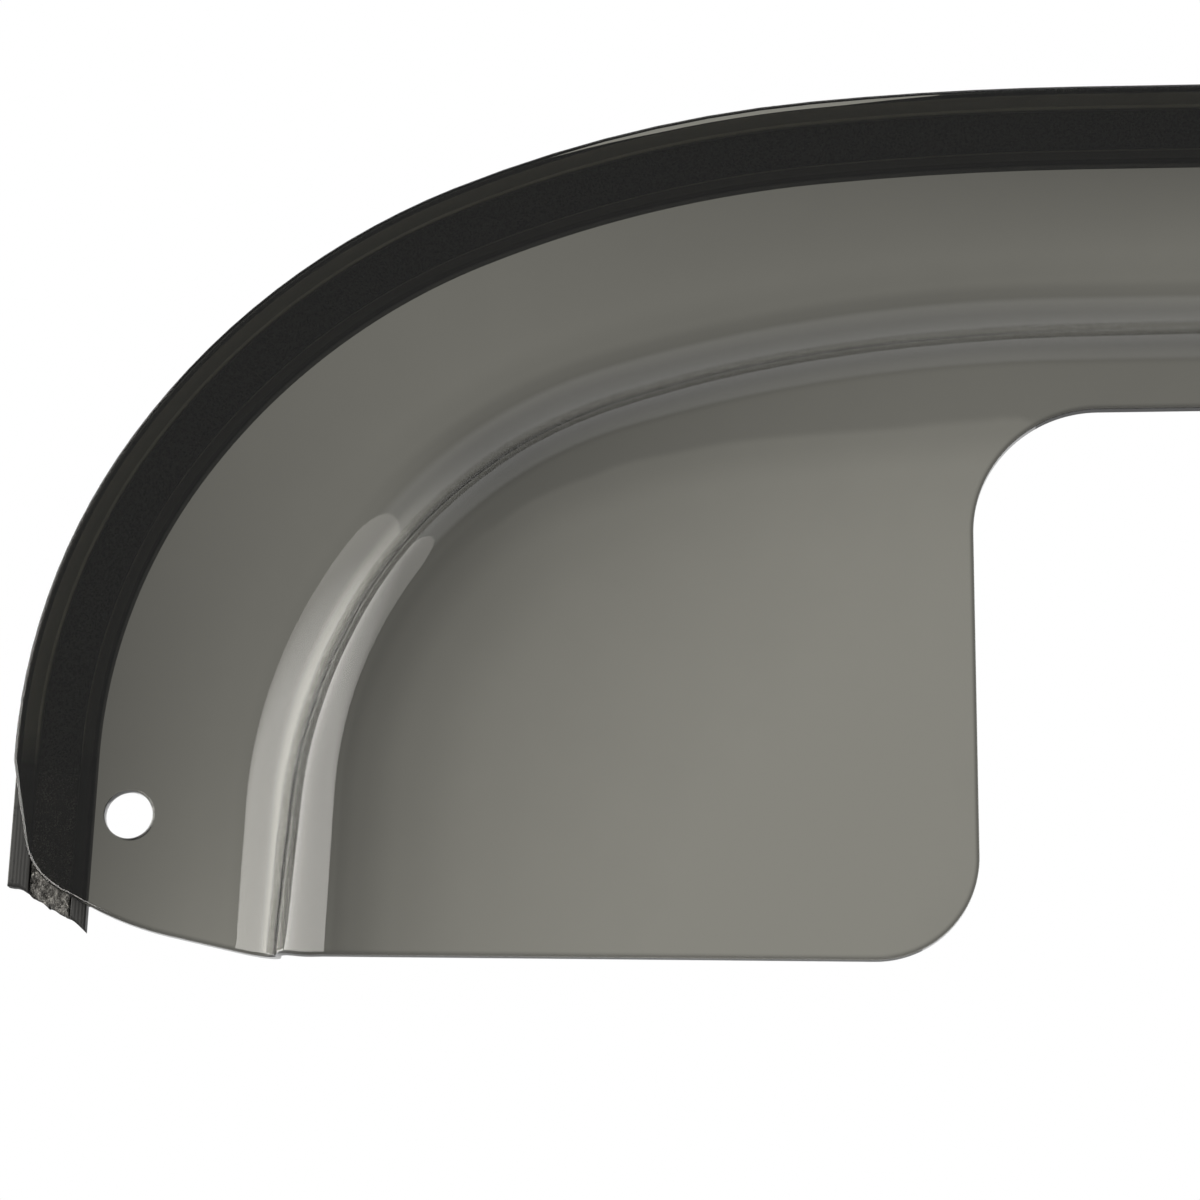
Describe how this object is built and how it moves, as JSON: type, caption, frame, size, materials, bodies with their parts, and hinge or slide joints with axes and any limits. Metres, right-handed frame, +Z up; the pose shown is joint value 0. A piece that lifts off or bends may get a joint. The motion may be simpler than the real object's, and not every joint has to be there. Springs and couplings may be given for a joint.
{
  "type": "window rain deflector",
  "caption": "Smoked acrylic side window rain deflector with a flat flange, an S-bend and a raised visor with a deep front lobe, edged behind with a taped rubber strip.",
  "frame": {"origin": "centre of the screw hole on the back face of the flange", "axes": "+X along the door from the front rim to the rear end, +Y into the door, +Z up as fitted, so the visor stands out towards -Y"},
  "size_m": [0.7809, 0.0337, 0.2273],
  "materials": {
    "smoked_acrylic": "polished smoked grey clear sheet, thermoformed",
    "black_rubber": "extruded black rubber, satin, with fine lengthwise lines",
    "dark_foam": "porous dark foam, rough where it is cut",
    "tape": "dark grey double-sided foam tape, matte"
  },
  "bodies": {
    "root": {"shell": "smoked_acrylic", "rubber_profile": "black_rubber", "foam_strip": "dark_foam", "mounting_tape": "tape"}
  },
  "joints": []
}
